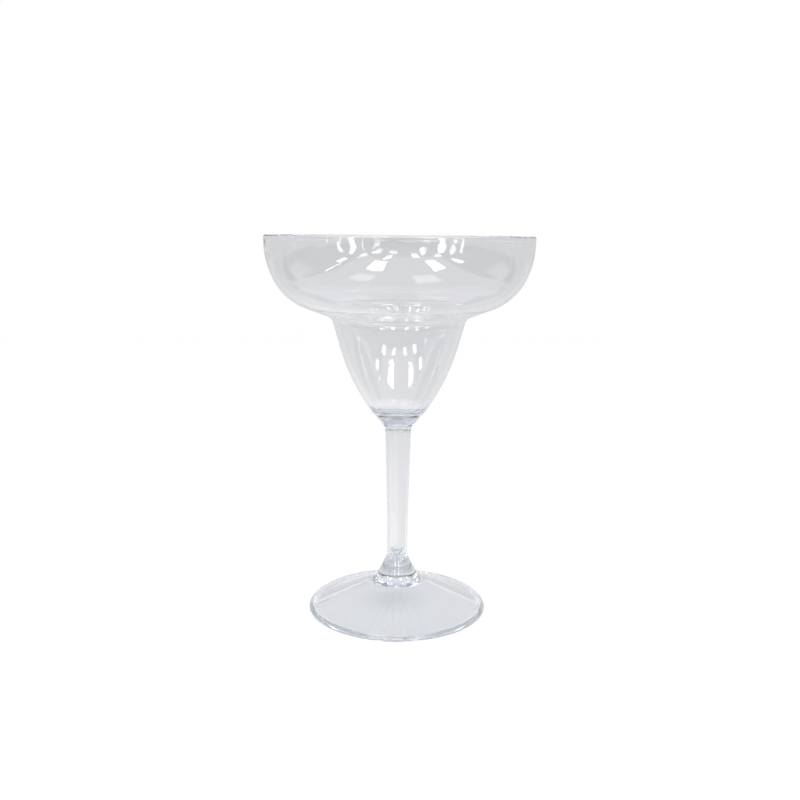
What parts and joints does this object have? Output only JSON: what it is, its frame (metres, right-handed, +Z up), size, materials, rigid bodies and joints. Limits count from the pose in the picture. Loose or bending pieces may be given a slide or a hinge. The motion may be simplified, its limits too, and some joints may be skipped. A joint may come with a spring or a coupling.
{
  "type": "margarita glass",
  "caption": "Clear plastic margarita glass: a wide saucer bowl over a tapered cup, on a hollow stem and a coned round foot, for serving cocktails.",
  "frame": {"origin": "centre of the foot's contact ring, on the surface the glass stands on", "axes": "+Z up along the axis of the glass, -Y towards the front where the trimmed gate lies"},
  "size_m": [0.118, 0.118, 0.17],
  "materials": {
    "clear_plastic": "polished clear moulding with a faint blue-grey cast",
    "set_bond": "clear set bond with a bright edge"
  },
  "bodies": {
    "root": {"bowl": "clear_plastic", "stem": "clear_plastic", "foot": "clear_plastic", "upper_bond": "set_bond", "lower_bond": "set_bond"}
  },
  "joints": []
}
